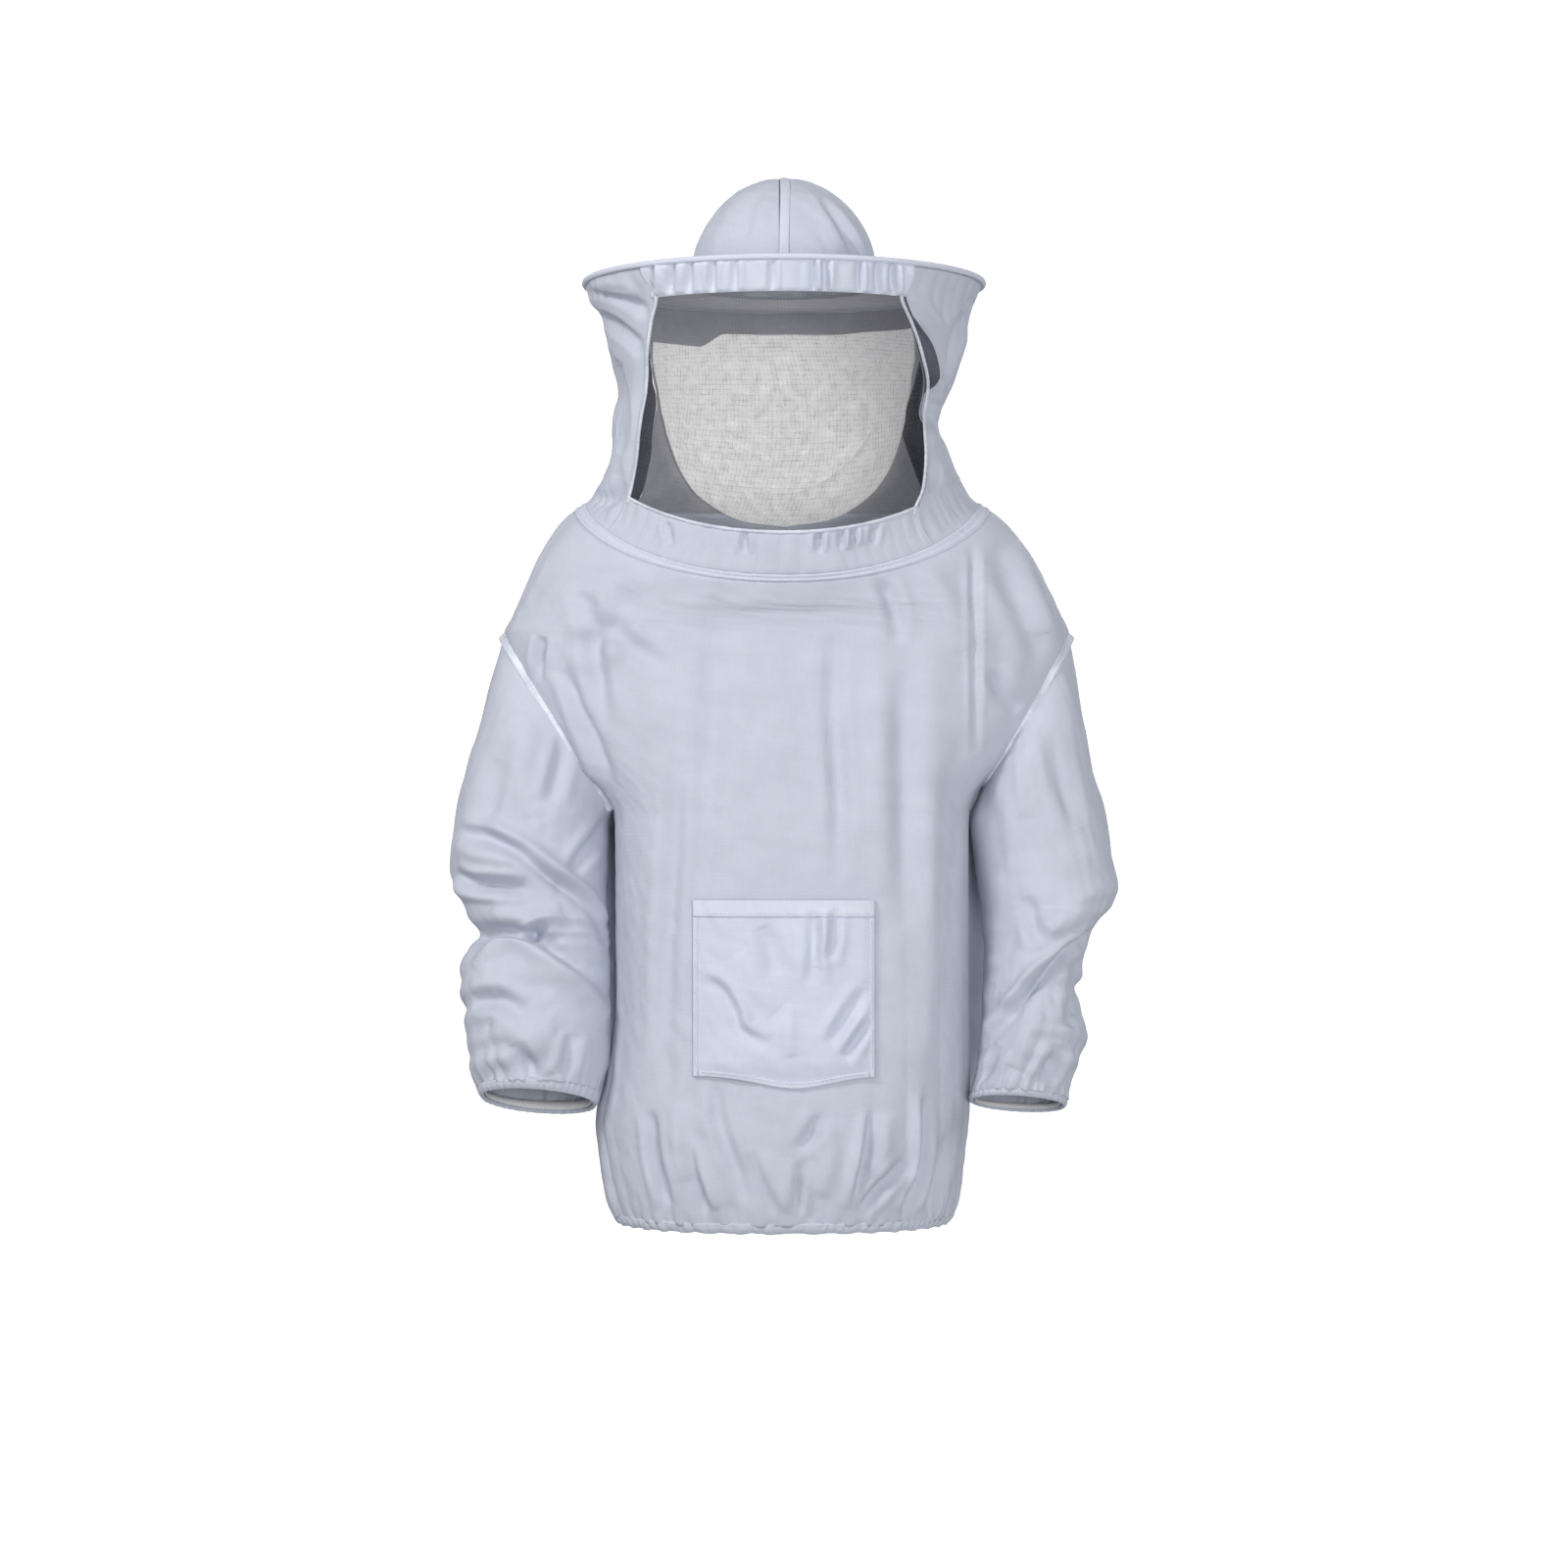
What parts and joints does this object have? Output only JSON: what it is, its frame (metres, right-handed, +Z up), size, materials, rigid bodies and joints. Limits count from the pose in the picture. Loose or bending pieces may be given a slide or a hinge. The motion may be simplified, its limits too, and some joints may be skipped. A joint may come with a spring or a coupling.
{
  "type": "beekeeping smock with veil hat",
  "caption": "Pullover cotton beekeeping smock with a wire-brimmed hat, net face window, gathered hem and cuffs, and a front patch pocket.",
  "frame": {"origin": "the middle of the wearer's neck, inside the neck seam, where the garment is carried", "axes": "+Z up along the standing wearer, -Y the front with the window and the pocket, +X the viewer's right"},
  "size_m": [0.6747, 0.412, 1.062],
  "materials": {
    "cotton": "thin plain-weave cotton, pale lavender white",
    "white_tape": "bleached cotton tape and bound seams",
    "lining": "off-white brushed cotton",
    "net": "black polyester mesh",
    "elastic": "woven elastic",
    "interlining": "stiff bonded interlining",
    "spring_steel": "spring steel wire"
  },
  "bodies": {
    "jacket": {"front_panel": "cotton", "back_panel": "cotton", "hem_casing": "cotton", "hem_elastic": "elastic", "pocket_panel": "cotton", "pocket_hem": "cotton", "armhole_tape_left": "white_tape", "armhole_tape_right": "white_tape", "neck_binding": "white_tape", "veil_side_left": "cotton", "veil_side_right": "cotton", "veil_back": "cotton", "back_lining": "lining", "window_net": "net", "window_band_bottom": "cotton", "window_frame_left": "white_tape", "window_frame_right": "white_tape"},
    "hat": {"brim_core": "interlining", "brim_top_cover": "cotton", "brim_under_cover": "cotton", "brim_edge_binding": "cotton", "brim_wire_hoop": "spring_steel", "crown_panel_left": "cotton", "crown_panel_right": "cotton", "crown_seam_tape": "white_tape", "sweatband": "white_tape", "window_band_top": "cotton"},
    "sleeve_left": {"sleeve_left": "cotton", "cuff_casing_left": "cotton", "cuff_elastic_left": "elastic"},
    "sleeve_right": {"sleeve_right": "cotton", "cuff_casing_right": "cotton", "cuff_elastic_right": "elastic"}
  },
  "joints": [
    {"name": "hat_nod", "type": "hinge", "parent": "jacket", "child": "hat", "pos_m": [0, 0.01, 0.09], "axis": [1, 0, 0], "range_deg": [-15, 20], "deforming": ["veil_side_left", "veil_side_right", "veil_back", "back_lining", "window_net", "window_frame_left", "window_frame_right"]},
    {"name": "left_sleeve_raise", "type": "hinge", "parent": "jacket", "child": "sleeve_left", "pos_m": [-0.29, 0, -0.088], "axis": [0, 1, 0], "range_deg": [0, 70]},
    {"name": "right_sleeve_raise", "type": "hinge", "parent": "jacket", "child": "sleeve_right", "pos_m": [0.29, 0, -0.088], "axis": [0, -1, 0], "range_deg": [0, 70]}
  ]
}
